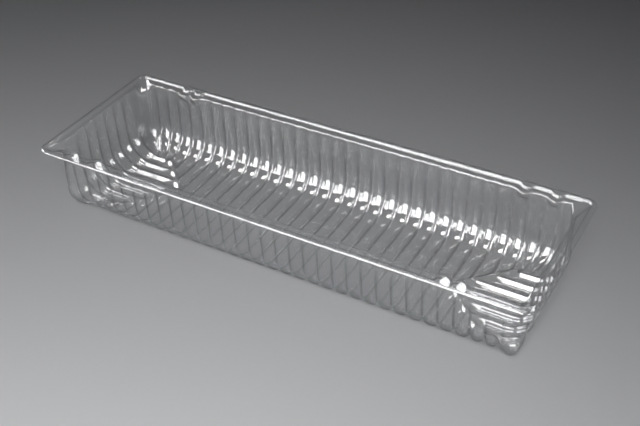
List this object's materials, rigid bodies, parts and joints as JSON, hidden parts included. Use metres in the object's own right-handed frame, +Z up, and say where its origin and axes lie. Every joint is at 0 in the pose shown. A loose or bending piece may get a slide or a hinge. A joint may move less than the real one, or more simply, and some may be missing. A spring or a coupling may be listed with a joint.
{
  "type": "clear plastic transport tray",
  "caption": "Long clear thermoformed transport tray with a stepped rim, ribbed walls and a ribbed floor; open at the top, for holding and carrying small goods.",
  "frame": {"origin": "centre of the footprint, on the surface the tray stands on", "axes": "+X along the tray, +Y across it towards the side seen at the back of the picture, +Z up out of the opening"},
  "size_m": [0.4, 0.132, 0.06],
  "materials": {
    "clear_sheet": "clear gloss, water-white thermoformed sheet"
  },
  "bodies": {
    "root": {"tray": "clear_sheet"}
  },
  "joints": []
}
